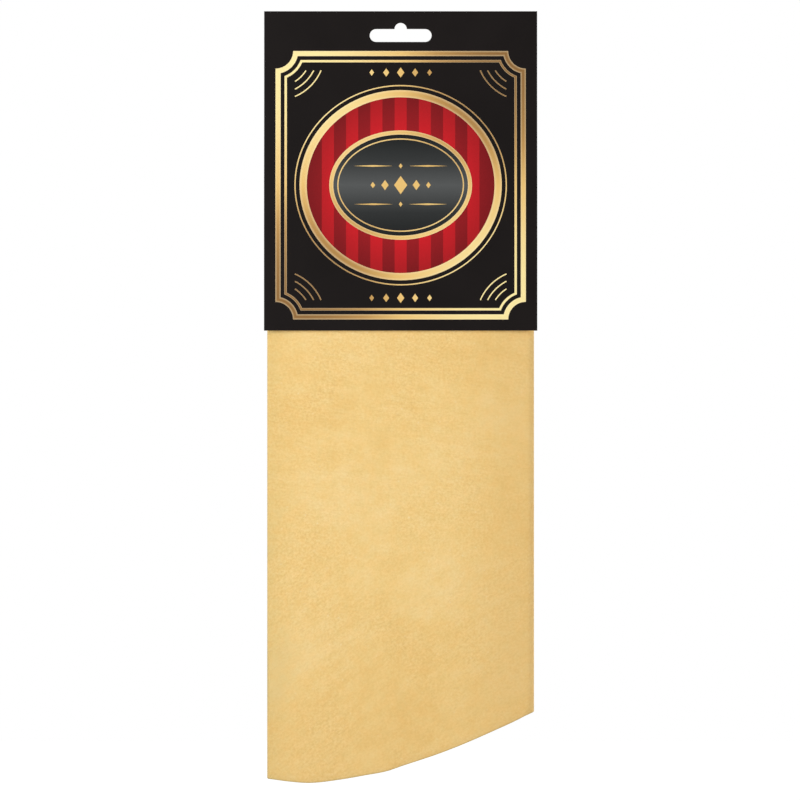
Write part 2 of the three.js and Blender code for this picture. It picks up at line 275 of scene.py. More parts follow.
def chamoisSuede(foldPlaces):
    material, tree, shader = startMaterial("chamoisSuede", {
        "Roughness": 0.95,
        "IOR": 1.5,
        "Specular IOR Level": 0.12,
        "Sheen Weight": 0.08,
        "Sheen Roughness": 0.6,
    })
    flat = addNode(tree, "UVMap", uv_map="flat")
    skin = addNode(tree, "VectorMath", {"Scale": 1 / mm}, {"Vector": flat}, operation="SCALE")
    parts = addNode(tree, "SeparateXYZ", None, {"Vector": skin}).outputs
    places = {"skin": skin}
    for name in ("patch", "pressed"):
        shift = {"Location": suede[name + "Shift"]}
        places[name] = addNode(tree, "Mapping", shift, {"Vector": skin})
    for name in ("upper", "lower"):
        turn = (0.0, 0.0, suede[name + "Lean"])
        places[name] = addNode(tree, "Mapping", {"Scale": suede["fibreSize"], "Rotation": turn},
                               {"Vector": skin}, vector_type="TEXTURE")
    levels = {}
    for name, (place, size, detail, roughness, distortion) in suede["noises"].items():
        noise = {"Scale": 1 / size, "Detail": detail, "Roughness": roughness,
                 "Distortion": distortion}
        levels[name] = addNode(tree, "TexNoise", noise, {"Vector": places[place]},
                               noise_dimensions="2D")
    levels["cloud"] = addNode(tree, "Mix", {"Factor": suede["mottleShare"]},
                              {"A": levels["patches"], "B": levels["mottle"]})
    levels["flecks"] = addNode(tree, "TexVoronoi", {"Scale": 1 / suede["fleckSpacing"]},
                               {"Vector": skin}, voronoi_dimensions="2D")
    start, end = suede["leanChange"]
    leaning = addNode(tree, "MapRange", {"From Min": start, "From Max": end},
                      {"Value": awayFrom(tree, parts["Y"], 0)}, interpolation_type="SMOOTHSTEP")
    for name in ("Fibres", "Bands"):
        levels[name] = addNode(tree, "Mix", None, {
            "Factor": leaning, "A": levels["upper" + name], "B": levels["lower" + name],
        })

    # the body colour: clouding where the skin is smooth, nap where it is rough
    tones = {}
    for name in ("cloud", "nap", "tint"):
        stops = [(at, suede[tone]) for at, tone in suede[name + "Tones"]]
        tones[name] = addNode(tree, "ValToRGB", None, {"Fac": levels[name]}, stops=stops)
    (darkest, lightest), (atDark, atLight) = suede["patchEnds"], suede["napShare"]
    rough = addNode(tree, "MapRange", {
        "From Min": darkest, "From Max": lightest, "To Min": atDark, "To Max": atLight,
    }, {"Value": levels["patches"]})
    colour = addNode(tree, "MixRGB", None,
                     {"Fac": rough, "Color1": tones["cloud"], "Color2": tones["nap"]})
    colour = layTones(tree, colour, [(levels[name], *layer, suede[tone])
                                     for name, *layer, tone in suede["overlays"]])
    start, full, share = suede["pressing"]
    pressed = addNode(tree, "MapRange", {"From Min": start, "From Max": full, "To Max": share},
                      {"Value": levels["pressed"]})
    colour = addNode(tree, "MixRGB", None,
                     {"Fac": pressed, "Color1": colour, "Color2": tones["cloud"]})

    # painted shade: darker along the folds, towards the skin's outer part and along its cut edge
    mostToned, leastToned = suede["foldPatches"]
    foldPatchLevel = addNode(tree, "MapRange", {"From Min": mostToned, "From Max": leastToned},
                    {"Value": levels["cloud"]})
    layers = []
    # painted shade along each fold, made patchy by the clouding
    for place, (width, strength, tone, patchiness) in foldPlaces:
        away = awayFrom(tree, parts["X"], place)
        patchy = addNode(tree, "Math", {1: width * patchiness}, {0: foldPatchLevel, 2: away},
                         operation="MULTIPLY_ADD")
        layers.append((patchy, width, 0.0, strength, suede[tone]))
    colour = layTones(tree, colour, layers, "SMOOTHERSTEP")
    # painted shade towards the skin's outer part, and a painted dark line along its cut edges
    fromMiddle = addNode(tree, "VectorMath", None, {"Vector": skin}, operation="LENGTH")
    edgeMap = addNode(tree, "UVMap", uv_map="edge")
    fromEdge = addNode(tree, "SeparateXYZ", None, {"Vector": edgeMap})
    colour = layTones(tree, colour, [
        (level, *layer, suede[tone]) for level, (*layer, tone) in (
            (fromMiddle.outputs["Value"], suede["rimTone"]), (fromEdge, suede["edgeLine"]))])
    colour = addNode(tree, "MixRGB", {"Fac": 1.0}, {"Color1": colour, "Color2": tones["tint"]},
                     blend_type="MULTIPLY")

    relief = addNode(tree, "Math", None, {0: levels["nap"], 1: levels["mottle"]}, operation="ADD")
    bump = addNode(tree, "Bump", suede["napRelief"], {"Height": relief})
    bump = addNode(tree, "Bump", suede["fuzzRelief"], {"Height": levels["fuzz"], "Normal": bump})
    plug(tree, shader, {"Base Color": colour, "Normal": bump})
    return material


# The same skin cut with a knife: the open fibre ends are greyer and rougher than the nap.
def chamoisCutEdge():
    material, tree, shader = startMaterial("chamoisCutEdge", {
        "Roughness": 1.0,
        "Specular IOR Level": 0.1,
    })
    place = addNode(tree, "TexCoord").outputs["Object"]
    plainFinish(tree, shader, place, suede["cutNoise"], suede["cutTones"], suede["cutRelief"])
    return material


# The hide: one skin folded crosswise, then down its spine, then once more lengthwise.
hideLow, hideHigh = boxInMm("chamois_hide")
hide = {
    "leather": 0.8,
    "gapAtFold": 0.4,  # air between two plies at the top fold
    "gapAtHem": 0.7,
    "neckShare": 0.985,  # the neck end reaches a little less far than the tail end
    "edgeSoftness": 0.35,  # mm over which a cut edge thins out
    "edgeSkin": 0.45,  # share of the thickness left at the very edge
    "foldSqueeze": 0.2,  # how much closer the plies lie where the side folds pinch them
    "squeezeWidth": 16.0,
    "waveHeight": 0.3,
    "waveLength": 74.0,
    "waves": ((1.0, 0.8, -1.0, 0.0), (0.6, 1.7, 0.6, 2.0)),  # strength, lean across and up, start
    "gridStep": 3.0,
    "foldSteps": 14,
    "plyRows": 56,
    # place across from the spine, and reach down from the crosswise fold, in shares of the reach
    "rightHalfShares": (
        (0, 0.982), (0.041, 0.9875), (0.081, 0.9898), (0.133, 0.984), (0.185, 0.9752),
        (0.223, 0.9682), (0.251, 0.9588), (0.316, 0.9374), (0.355, 0.9228), (0.382, 0.9117),
        (0.447, 0.8825), (0.5, 0.8548), (0.586, 0.812), (0.678, 0.748), (0.769, 0.66),
        (0.842, 0.562), (0.897, 0.463), (0.934, 0.37), (0.96, 0.285), (0.978, 0.2)),
    "leftHalfShares": (
        (0, 0.982), (0.05, 0.972), (0.1, 0.964), (0.185, 0.951), (0.251, 0.936), (0.316, 0.917),
        (0.382, 0.893), (0.447, 0.866), (0.5, 0.842), (0.586, 0.797), (0.678, 0.73),
        (0.769, 0.64), (0.842, 0.542), (0.897, 0.442), (0.934, 0.35), (0.955, 0.26)),
}
edgeless = 1000.0  # mm: a column that no flank's edge is near
foldedWidth = hideHigh[0] - hideLow[0]
hideReach = 2 * foldedWidth
foldPitch = hide["leather"] + hide["gapAtFold"]
hemPitch = hide["leather"] + hide["gapAtHem"]
topFoldCentre = hideHigh[2] - foldPitch / 2 - hide["leather"] / 2
hemDepth = max(share for place, share in hide["rightHalfShares"]) * hideReach


def pitchAt(height):
    return foldPitch + (hemPitch - foldPitch) * (topFoldCentre - height) / hemDepth


# Reads a table of shares as a smooth curve through its pairs.
def readShares(shares, place):
    i = 0
    while i < len(shares) - 2 and place > shares[i + 1][0]:
        i += 1

    def slope(k):
        before, after = shares[max(k - 1, 0)], shares[min(k + 1, len(shares) - 1)]
        return (after[1] - before[1]) / (after[0] - before[0])

    step = shares[i + 1][0] - shares[i][0]
    u = clamped((place - shares[i][0]) / step)
    level = (1 + 2 * u) * (1 - u) ** 2 * shares[i][1] + u ** 2 * (3 - 2 * u) * shares[i + 1][1]
    return level + step * (u * (1 - u) ** 2 * slope(i) - u ** 2 * (1 - u) * slope(i + 1))


def plyReach(across, isNeck):
    shares = hide["rightHalfShares"] if across >= 0 else hide["leftHalfShares"]
    reach = hideReach * readShares(shares, abs(across) / hideReach)
    return reach * (hide["neckShare"] if isNeck else 1)


def spineFoldX(pitch):
    return 1.5 * pitch + hide["leather"] / 2 - foldedWidth / 2


def wrapX(pitch):
    return foldedWidth / 2 - 3.5 * pitch - hide["leather"] / 2


# Across the flat hide: a straight run, half the spine fold, and how far from the spine the side
# folds start and the two flanks.
runLength = wrapX(foldPitch) - spineFoldX(foldPitch)
halfSpine = foldPitch * math.pi / 2
toWrap = halfSpine + runLength
outerStart = toWrap + 3 * foldPitch * math.pi
innerStart = toWrap + foldPitch * math.pi


# How close the plies lie at a place between the two side folds.
def squeeze(x):
    inward = min(wrapX(foldPitch) - x, x - spineFoldX(foldPitch))
    u = clamped(inward / hide["squeezeWidth"])
    return 1 - hide["foldSqueeze"] * (1 - u * u * (3 - 2 * u))


# A column is its place across the flat hide, the place that its cut edges follow, how far it is
# from a flank's edge, its skin share, how close its plies lie, and its point for a ply spacing.
def straightColumn(across, outer, rear, xAt, fromEdge=edgeless, skin=1.0):
    strand = (3 if outer else 1) * (1 if rear else -1)
    facing = 1 if outer == rear else -1
    closeness = squeeze(xAt(foldPitch))
    return (across, across, fromEdge, skin, closeness,
            lambda pitch: (xAt(pitch), strand * pitch, 0, facing))


def turnedColumn(across, edgePlace, centreX, centrePitches, strand, angle, facing):
    nx, ny = math.cos(angle), math.sin(angle)
    return across, edgePlace, edgeless, 1.0, squeeze(centreX(foldPitch)), lambda pitch: (
        centreX(pitch) + strand * pitch * nx, (centrePitches + strand * ny) * pitch,
        facing * nx, facing * ny)


def hideColumns():
    runSteps = round(runLength / hide["gridStep"])
    turns = [i / hide["foldSteps"] for i in range(hide["foldSteps"] + 1)]
    outerFlank = hide["rightHalfShares"][-1][0] * hideReach - outerStart
    innerFlank = hide["leftHalfShares"][-1][0] * hideReach - innerStart
    columns = []

    def flank(start, length, outer):
        awayList = [length * math.sin(i / runSteps * math.pi / 2) for i in range(1, runSteps + 1)]
        awayList.insert(-1, length - hide["edgeSoftness"])
        placed = []
        for away in sorted(awayList):
            skin = hide["edgeSkin"] if away == length else 1.0
            across = (start + away) * (1 if outer else -1)
            placed.append(straightColumn(across, outer, True, lambda p, a=away: wrapX(p) - a,
                                         length - away, skin))
        return placed

    def run(start, outer, fromX, toX):
        for i in range(1, runSteps):
            along = i / runSteps
            columns.append(straightColumn(start - runLength * along, outer, False,
                                          lambda p, a=along: fromX(p) * (1 - a) + toX(p) * a))

    columns += reversed(flank(outerStart, outerFlank, True))
    for turn in turns:
        across = outerStart + (toWrap - outerStart) * turn
        outermost = toWrap + 3 * foldPitch  # the hem is cut straight on, right out to the fold
        edgePlace = outerStart + (outermost - outerStart) * 2 * turn
        if turn > 0.5:
            edgePlace = toWrap + 3 * foldPitch * math.cos(math.pi * (turn - 0.5))
        columns.append(turnedColumn(across, edgePlace, wrapX, 0, 3, math.pi * (0.5 - turn), 1))
    run(toWrap, True, wrapX, spineFoldX)
    for turn in turns:
        across = halfSpine * (1 - 2 * turn)
        columns.append(turnedColumn(across, across, spineFoldX, -2, 1, -math.pi * (0.5 + turn), 1))
    run(-halfSpine, False, spineFoldX, wrapX)
    for turn in turns:
        across = -toWrap - (innerStart - toWrap) * turn
        columns.append(turnedColumn(across, across, wrapX, 0, 1, math.pi * (turn - 0.5), -1))
    columns += flank(innerStart, innerFlank, False)
    return columns


# A row is its depth share, how far it stands in from the cut edge, its turn and its skin share.
def hideRows():
    down = [(1.0, 0.0, hide["edgeSkin"]), (1.0, hide["edgeSoftness"], 1.0)]
    down += [(i / hide["plyRows"], 0.0, 1.0) for i in range(hide["plyRows"] - 1, 0, -1)]
    rows = [(share, inset, 0.0, skin) for share, inset, skin in down]
    rows += [(0.0, 0.0, i / hide["foldSteps"], 1.0) for i in range(hide["foldSteps"] + 1)]
    return rows + [(share, inset, 1.0, skin) for share, inset, skin in reversed(down)]


# All plies lean together in slow waves, which die out where the card holds them.
def leatherWave(x, height, cardBottom):
    grown = clamped((cardBottom - height) / hide["waveLength"])
    slow = 2 * math.pi / hide["waveLength"]
    wave = sum(strength * math.sin(slow * (across * x + up * height) + start)
               for strength, across, up, start in hide["waves"])
    strongest = sum(settings[0] for settings in hide["waves"])
    return hide["waveHeight"] * grown * grown * wave / strongest


def hidePoint(column, row, side, cardBottom):
    across, edgePlace, columnEdge, columnSkin, closeness, at = column
    share, inset, turn, rowSkin = row
    skin = side * min(columnSkin, rowSkin) * hide["leather"] / 2
    angle = turn * math.pi
    reach = plyReach(edgePlace, turn > 0.5)
    depth = share * reach - inset
    fromEdge = min(columnEdge, reach - depth)
    middle = topFoldCentre - depth + foldPitch / 2 * math.sin(angle)
    height = middle + skin * math.sin(angle)
    pitch = pitchAt(height) * closeness
    offset = (pitch / 2) * math.cos(angle) + skin * math.cos(angle)
    x, y, nx, ny = at(pitch)
    x += offset * nx
    y += offset * ny + leatherWave(x, height, cardBottom)
    bend = (0.5 - turn) * math.pi * foldPitch / 2
    flatAlong = bend if 0 < turn < 1 else depth * (1 - 2 * turn)
    return (x, y, height), (across * mm, flatAlong * mm), (fromEdge * mm, 0.0)


def makeHide():
    cardBottom = boxInMm("header_front_panel")[0][2]
    columns, rows = hideColumns(), hideRows()
    vertices, flat, edge = [], [], []
    for side in (1, -1):
        for column in columns:
            for row in rows:
                point, place, fromEdge = hidePoint(column, row, side, cardBottom)
                vertices.append(point)
                flat.append(place)
                edge.append(fromEdge)
    lastColumn, lastRow = len(columns) - 1, len(rows) - 1
    inside = len(columns) * len(rows)

    def at(c, r):
        return c * len(rows) + r

    def rim(c, r, nextC, nextR):
        a, b = at(c, r), at(nextC, nextR)
        return a, b, b + inside, a + inside

    faces, slots = [], []
    for c in range(lastColumn):
        for r in range(lastRow):
            corners = (at(c, r), at(c, r + 1), at(c + 1, r + 1), at(c + 1, r))
            faces += [corners, [corner + inside for corner in reversed(corners)]]
    slots += [0] * len(faces)
    for c in range(lastColumn):
        faces += [rim(c, 0, c + 1, 0), rim(c + 1, lastRow, c, lastRow)]
    for r in range(lastRow):
        faces += [rim(0, r + 1, 0, r), rim(lastColumn, r, lastColumn, r + 1)]
    slots += [1] * (len(faces) - len(slots))
    sideFolds = ((toWrap + outerStart) / 2, -(toWrap + innerStart) / 2)
    folds = []
    # painted shade bands and creases along the spine and both side folds
    for kind in ("Rub", "Crease"):
        folds.append((0.0, suede["spine" + kind]))
        folds += [(place, suede["side" + kind]) for place in sideFolds]
    piece = meshObject("folded_chamois", vertices, faces,
                       [chamoisSuede(folds), chamoisCutEdge()], slots)
    addMap(piece, "flat", flat)
    addMap(piece, "edge", edge)
    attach(piece, "hide")
    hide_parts("chamois_hide")


makeHide()
print("stage 3: the hide is folded")


# The header card: one board, printed black outside, creased over the top.
frontLow, frontHigh = boxInMm("header_front_panel")
creaseLow, creaseHigh = boxInMm("header_crease")
card = {
    "thickness": 0.5,
    "flatBelowSlot": 6.0,  # the panels lie together down to here
    "parallelAboveHide": 9.0,  # and run parallel again from here down
    "slotLength": 31.7,
    "slotWidth": 6.6,
    "notchRadius": 3.15,
    "bendStep": 2.5,
    "roundSteps": 12,
    "sharpFrom": 0.6,  # radians between two faces from which their edge is drawn sharp
    "creaseHalfGap": 0.3,  # within the crease, and clear of both panels' inner faces
    "mergeWithin": 1e-4,
    "tangentSteps": 8,
    "inkTones": ((0.35, "#110c0b"), (0.65, "#15100f")),
    # each noise in the ink: its name, mm across, detail and roughness
    "inkNoises": (("clouding", 30.0, 3.0, 0.5), ("scuff", 2.2, 4.0, 0.7), ("peel", 0.8, 2.0, 0.5)),
    "peelRelief": {"Strength": 0.12, "Distance": 0.05 * mm},
    "crownWear": 1.2,  # times the scuffing, at the crown
    "cracking": (0.5, 0.9, 0.35, "#7d7772"),  # the wear at its start, at its full, its share, tone
    # the bare board, whose grain is as long as a pulp fibre
    "bareNoise": {"Scale": 1 / (1.6 * mm), "Detail": 5.0, "Roughness": 0.7},
    "bareTones": ((0.3, "#c9c2b4"), (0.5, "#d8d2c6"), (0.7, "#e2ddd2")),
    "bareRelief": {"Strength": 0.25, "Distance": 0.04 * mm},
}
cardHalfWidth = frontHigh[0]
cardBottom = frontLow[2]
creaseAxis = creaseLow[2]
creaseRadius = creaseHigh[1] - card["thickness"] / 2
creaseQuarter = creaseRadius * math.pi / 2
pocketDistance = -frontLow[1] - card["thickness"] / 2
slotTopEdge = -card["notchRadius"]
slotBottomEdge = slotTopEdge - card["slotWidth"]
bendStart = slotBottomEdge - card["flatBelowSlot"]
bendEnd = hideHigh[2] + card["parallelAboveHide"]
bendSteps = round((bendStart - bendEnd) / card["bendStep"])
bendRows = [bendStart + (bendEnd - bendStart) * i / bendSteps for i in range(bendSteps + 1)]


# How far the middle of the board stands from the pack's middle plane at a height. It runs in an S,
# a cubic curve with both handles half way down, and tangent steps find the curve's own measure t.
def boardDistance(height):
    u = clamped((bendStart - height) / (bendStart - bendEnd))
    t = u
    for step in range(card["tangentSteps"]):
        t -= (1.5 * t - 1.5 * t * t + t ** 3 - u) / (1.5 - 3 * t + 3 * t * t)
    return creaseRadius + (pocketDistance - creaseRadius) * (3 * t * t - 2 * t ** 3)


# A place on the flat board: s runs from the crease's crown, forwards below zero, backwards above.
def bentBoard(x, s, offset):
    if abs(s) < creaseQuarter:
        angle = s / creaseRadius
        radius = creaseRadius + offset
        return x, radius * math.sin(angle), creaseAxis + radius * math.cos(angle)
    height = creaseAxis - (abs(s) - creaseQuarter)
    return x, math.copysign(boardDistance(height) + offset, s), height


def arcPoints(centreX, centreZ, radius, start, end):
    count = card["roundSteps"]
    turns = [math.radians(start + (end - start) * i / count) for i in range(count + 1)]
    return [(centreX + radius * math.cos(a), centreZ + radius * math.sin(a)) for a in turns]


def slotLoop():
    end = card["slotWidth"] / 2
    middle = slotTopEdge - end
    reach = card["slotLength"] / 2 - end
    return (arcPoints(0, slotTopEdge, card["notchRadius"], 0, 180)
            + arcPoints(-reach, middle, end, 90, 270) + arcPoints(reach, middle, end, -90, 90))


# Black ink under a satin water-based coat on solid bleached board: deep even black with a soft
# broad gloss, and a faint orange peel where the coat followed the board's fibres.
def coatedBlackBoard():
    material, tree, shader = startMaterial("coatedBlackBoard", {
        "Roughness": 0.45,
        "IOR": 1.5,
        "Specular IOR Level": 0.12,
    })
    place = addNode(tree, "UVMap", uv_map="board")
    levels = {}
    for name, size, detail, roughness in card["inkNoises"]:
        noise = {"Scale": 1 / (size * mm), "Detail": detail, "Roughness": roughness}
        levels[name] = addNode(tree, "TexNoise", noise, {"Vector": place})
    ink = addNode(tree, "ValToRGB", None, {"Fac": levels["clouding"]}, stops=card["inkTones"])
    along = addNode(tree, "SeparateXYZ", None, {"Vector": place}).outputs["Y"]
    crown = addNode(tree, "MapRange", {
        "From Max": creaseQuarter * mm, "To Min": card["crownWear"], "To Max": 0.0,
    }, {"Value": awayFrom(tree, along, 0)})
    wear = addNode(tree, "Math", None, {0: crown, 1: levels["scuff"]}, operation="MULTIPLY")
    plug(tree, shader, {
        "Base Color": layTones(tree, ink, [(wear, *card["cracking"])]),
        "Normal": addNode(tree, "Bump", card["peelRelief"], {"Height": levels["peel"]}),
    })
    return material


# The board's uncoated back and its cut edges: pulp grey-white, dry, with short fibres.
def bareBoard():
    material, tree, shader = startMaterial("bareBoard", {
        "Roughness": 0.85,
        "Specular IOR Level": 0.3,
    })
    place = addNode(tree, "UVMap", uv_map="board")
    plainFinish(tree, shader, place, card["bareNoise"], card["bareTones"], card["bareRelief"])
    return material


# Cuts a flat mesh along every line that the board bends on, so that it follows the bend.
def cutAtRows(flatMesh, places):
    for place in places:
        geometry = flatMesh.verts[:] + flatMesh.edges[:] + flatMesh.faces[:]
        bmesh.ops.bisect_plane(flatMesh, geom=geometry, dist=card["mergeWithin"],
                               plane_co=(0, place, 0), plane_no=(0, 1, 0))


def makeCard():
    flatTop = creaseQuarter + creaseAxis  # the crown's height, were the board not bent there
    toBottom = flatTop - cardBottom
    loops = [[(-cardHalfWidth, -toBottom), (cardHalfWidth, -toBottom),
              (cardHalfWidth, toBottom), (-cardHalfWidth, toBottom)]]
    for side in (-1, 1):
        loops.append([(x, side * (flatTop - z)) for x, z in slotLoop()])
    flatMesh = bmesh.new()
    for loop in loops:
        corners = [flatMesh.verts.new((x, s, 0)) for x, s in loop]
        for corner, following in zip(corners, corners[1:] + corners[:1]):
            flatMesh.edges.new((corner, following))
    bmesh.ops.remove_doubles(flatMesh, verts=flatMesh.verts[:], dist=card["mergeWithin"])
    bmesh.ops.triangle_fill(flatMesh, edges=flatMesh.edges[:], use_beauty=True)
    folds = [creaseQuarter * i / card["roundSteps"] for i in range(1, card["roundSteps"] + 1)]
    downs = [flatTop - z for z in bendRows]
    cutAtRows(flatMesh, [0] + [side * s for side in (-1, 1) for s in folds + downs])
    flatMesh.verts.index_update()
    count = len(flatMesh.verts)
    vertices = [bentBoard(v.co.x, v.co.y, card["thickness"] / 2) for v in flatMesh.verts]
    vertices += [bentBoard(v.co.x, v.co.y, -card["thickness"] / 2) for v in flatMesh.verts]
    onBoard = [(v.co.x * mm, v.co.y * mm) for v in flatMesh.verts] * 2
    faces, slots = [], []
    for face in flatMesh.faces:
        corners = [v.index for v in face.verts]
        faces += [corners, [corner + count for corner in reversed(corners)]]
        slots += [0, 1]
    for edge in flatMesh.edges:
        if edge.is_boundary:
            a, b = (v.index for v in edge.verts)
            faces.append([a, b, b + count, a + count])
            slots.append(1)
    flatMesh.free()
    piece = meshObject("header_card", vertices, faces, [coatedBlackBoard(), bareBoard()], slots)
    addMap(piece, "board", onBoard)
    solid = bmesh.new()
    solid.from_mesh(piece.data)
    bmesh.ops.recalc_face_normals(solid, faces=solid.faces[:])
    for edge in solid.edges:
        edge.smooth = edge.calc_face_angle(0) < card["sharpFrom"]
    solid.to_mesh(piece.data)
    solid.free()
    return piece


headerCard = makeCard()
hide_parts("header_front_panel", "header_back_panel", "header_crease")
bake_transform(headerCard)
print("stage 4: the header card is creased and punched")


# The print: a plain label in gold, red and charcoal on the front, a hairline frame on the back.
label = {
    "halfWidth": 64.0,
    "top": -14.4,
    "bottom": -151.8,
    "frameStroke": 2.6,
    "scoop": 9.0,
    "innerStroke": 1.2,
    "strokeGap": 2.0,
    "hairline": 0.6,
    "echoArcs": 3,
    "echoStep": 3.4,
    "ovalHalfWidth": 48.0,
    "ovalHalfHeight": 45.0,
    "ovalStroke": 3.7,
    "stripe": 6.2,  # width of one red stripe
    "stripeSteps": 8,  # along each of its ends
    "medallionHalfWidth": 36.5,  # the charcoal oval in the middle
    "medallionHalfHeight": 28.0,
    "medallionStroke": 2.1,
    "ovalSteps": 120,
    "lozenge": 2.6,  # half the height of the largest one in a row
    "lozengeWidth": 0.72,  # of its height
    "lozengeShrink": 0.18,  # of that height, at each step from the row's middle
    "lozengeStep": 7.4,
    "ruleRise": 0.35,  # of the charcoal oval's half height, up and down from its middle
    "ruleCentre": 14.0,
    "ruleHalfLength": 10.0,
    "ruleHalfHeight": 0.45,
    "ruleLozenge": 0.5,  # of the largest in a row: it sits between two rules
    # along the middle: how far out to each side, half width and half height, in lozenges
    "middleLozenges": ((0.0, 1.296, 1.8), (8.0, 0.72, 1.0), (14.2, 0.45, 0.62)),
    "ink": 0.02,  # how far each layer of ink stands off the last
    "film": 0.016,  # thickness of one layer
    "shortest": 0.005,  # shorter edges are dissolved before a layer is given its thickness
    "goldTurn": (34.0, 38.0),  # mm across and up, for one radian of the gold's gradient
    "goldTones": ((0.0, "#fbe8a2"), (0.28, "#f1d088"), (0.5, "#e8bf73"), (0.75, "#bb8f51"),
                  (1.0, "#8c6638")),
    "paleRim": (0.16, 0.5, 0.36, "#fbe6ba"),  # from the stroke's core: its start, full, share, tone
    "redInkDeep": ((0.45, "#a1171f"), (1.0, "#780e14")),
    "redInkBright": ((0.45, "#d61a25"), (1.0, "#a6151c")),
    "charcoalTones": ((0.0, "#101212"), (0.25, "#2b2d2d"), (0.5, "#525454"), (0.72, "#313333"),
                      (1.0, "#0d1010")),
}
labelMiddle = (label["top"] + label["bottom"]) / 2
labelHalfHeight = (label["top"] - label["bottom"]) / 2


# Places on the label's face from its middle, in units of a length across and a length up.
def labelPlaces(tree, across, up):
    place = addNode(tree, "TexCoord").outputs["Object"]
    return addNode(tree, "Mapping", {
        "Location": (0.0, 0.0, -labelMiddle / up),
        "Scale": (1 / (across * mm), 0.0, 1 / (up * mm)),
    }, {"Vector": place})


# Gold printing ink: the printer's gradient runs from lemon through ochre to brown and back, and
# each stroke is a shade paler along both rims.
def goldInk():
    material, tree, shader = startMaterial("goldInk", {
        "Roughness": 0.42,
        "IOR": 1.5,
        "Specular IOR Level": 0.2,
    })
    turned = labelPlaces(tree, *label["goldTurn"])
    waves = addNode(tree, "VectorMath", None, {"Vector": turned}, operation="SINE")
    parts = addNode(tree, "SeparateXYZ", None, {"Vector": waves}).outputs
    saddle = addNode(tree, "Math", None, {0: parts["X"], 1: parts["Z"]}, operation="MULTIPLY")
    level = addNode(tree, "MapRange", {"From Min": -1.0, "From Max": 1.0}, {"Value": saddle})
    tones = addNode(tree, "ValToRGB", None, {"Fac": level}, stops=label["goldTones"])
    strokeMap = addNode(tree, "UVMap", uv_map="stroke")
    stroke = addNode(tree, "SeparateXYZ", None, {"Vector": strokeMap}).outputs["Y"]
    fromCore = awayFrom(tree, stroke, 0.5)
    plug(tree, shader, {"Base Color": layTones(tree, tones, [(fromCore, *label["paleRim"])])})
    return material


# Process red in two strengths, darker towards the rim of the oval.
def redInk(name):
    material, tree, shader = startMaterial(name, {
        "Roughness": 0.45,
        "IOR": 1.5,
        "Specular IOR Level": 0.15,
    })
    place = labelPlaces(tree, label["ovalHalfWidth"], label["ovalHalfHeight"])
    away = addNode(tree, "VectorMath", None, {"Vector": place}, operation="LENGTH")
    tones = addNode(tree, "ValToRGB", None, {"Fac": away.outputs["Value"]}, stops=label[name])
    plug(tree, shader, {"Base Color": tones})
    return material


# Charcoal tint with a printed sheen band: lightest at its middle, near black at top and bottom.
def charcoalInk():
    material, tree, shader = startMaterial("charcoalInk", {
        "Roughness": 0.42,
        "IOR": 1.5,
        "Specular IOR Level": 0.15,
    })
    place = labelPlaces(tree, label["medallionHalfWidth"], label["medallionHalfHeight"])
    height = addNode(tree, "SeparateXYZ", None, {"Vector": place}).outputs["Z"]
    level = addNode(tree, "MapRange", {"From Min": -1.0}, {"Value": height})
    tones = addNode(tree, "ValToRGB", None, {"Fac": level}, stops=label["charcoalTones"])
    plug(tree, shader, {"Base Color": tones})
    return material


scoops = ((1, 1, 180), (-1, 1, 270), (-1, -1, 0), (1, -1, 90))  # right, up and first angle of each


# A rectangle with scooped corners, drawn inset by some distance from its outer line.
def scoopedLoop(halfWidth, halfHeight, scoop, inset):
    radius = scoop + inset
    lean = math.degrees(math.asin(inset / radius))
    loop = []
    for right, up, start in scoops:
        loop += arcPoints(right * halfWidth, labelMiddle + up * halfHeight, radius,
                          start + 90 - lean, start + lean)
    return loop


def ovalLoop(halfWidth, halfHeight, offset):
    loop = []
    for i in range(label["ovalSteps"]):
        a = 2 * math.pi * i / label["ovalSteps"]
        nx, nz = math.cos(a) / halfWidth, math.sin(a) / halfHeight
        size = math.hypot(nx, nz)
        loop.append((halfWidth * math.cos(a) + offset * nx / size,
                     labelMiddle + halfHeight * math.sin(a) + offset * nz / size))
    return loop


# The outer and inner line of a ring round an oval, each some distance outside it.
def ovalRing(halfWidth, halfHeight, inner, outer):
    return ovalLoop(halfWidth, halfHeight, outer), ovalLoop(halfWidth, halfHeight, inner)


def lozengeLoop(x, z, halfWidth, halfHeight):
    return [(x + halfWidth, z), (x, z + halfHeight), (x - halfWidth, z), (x, z - halfHeight)]


